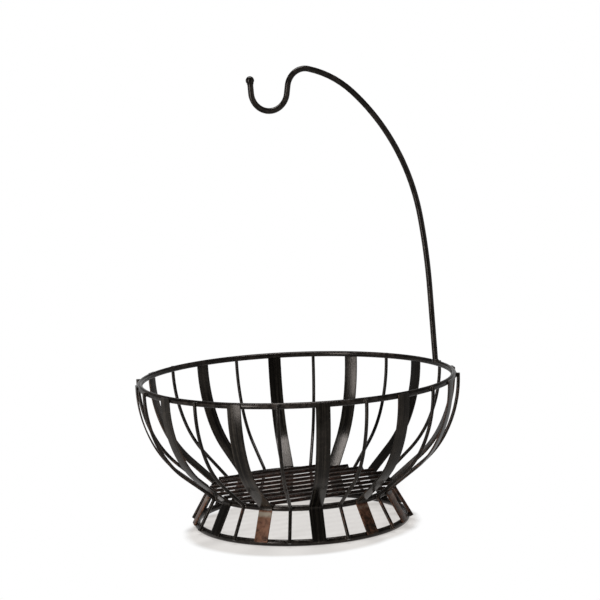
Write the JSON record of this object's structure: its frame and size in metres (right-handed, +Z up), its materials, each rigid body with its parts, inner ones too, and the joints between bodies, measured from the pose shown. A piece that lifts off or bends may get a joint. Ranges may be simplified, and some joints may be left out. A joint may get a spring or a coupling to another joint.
{
  "type": "fruit bowl with banana hanger",
  "caption": "Round wire bowl of flat straps and round wires on a flared foot, with an arched rod on its rim that ends in a hook for a bunch of bananas.",
  "frame": {"origin": "on the bowl's upright axis, on the floor under the base ring", "axes": "+Z up along the bowl's axis; the hanger stands in the XZ plane with its foot on the rim at +X and its hook over the middle; the grid's wires run along X"},
  "size_m": [0.3028, 0.3028, 0.4226],
  "materials": {
    "rod": "satin antique bronze coat, near black",
    "wire": "satin antique bronze coat, near black",
    "strap": "satin antique bronze coat, rubbed to brown in places",
    "grid": "satin antique bronze coat, near black"
  },
  "bodies": {
    "root": {"rim_ring": "rod", "waist_ring": "rod", "base_ring": "rod", "strap_01": "strap", "strap_02": "strap", "strap_03": "strap", "strap_04": "strap", "strap_05": "strap", "strap_06": "strap", "strap_07": "strap", "strap_08": "strap", "strap_09": "strap", "strap_10": "strap", "strap_11": "strap", "strap_12": "strap", "wire_01": "wire", "wire_02": "wire", "wire_03": "wire", "wire_04": "wire", "wire_05": "wire", "wire_06": "wire", "wire_07": "wire", "wire_08": "wire", "wire_09": "wire", "wire_10": "wire", "wire_11": "wire", "wire_12": "wire", "grid_wire_1": "grid", "grid_wire_2": "grid", "grid_wire_3": "grid", "grid_wire_4": "grid", "grid_wire_5": "grid", "grid_wire_6": "grid", "grid_wire_7": "grid", "grid_wire_8": "grid", "grid_wire_9": "grid", "hanger_rod": "rod", "ball_tip": "rod"}
  },
  "joints": []
}
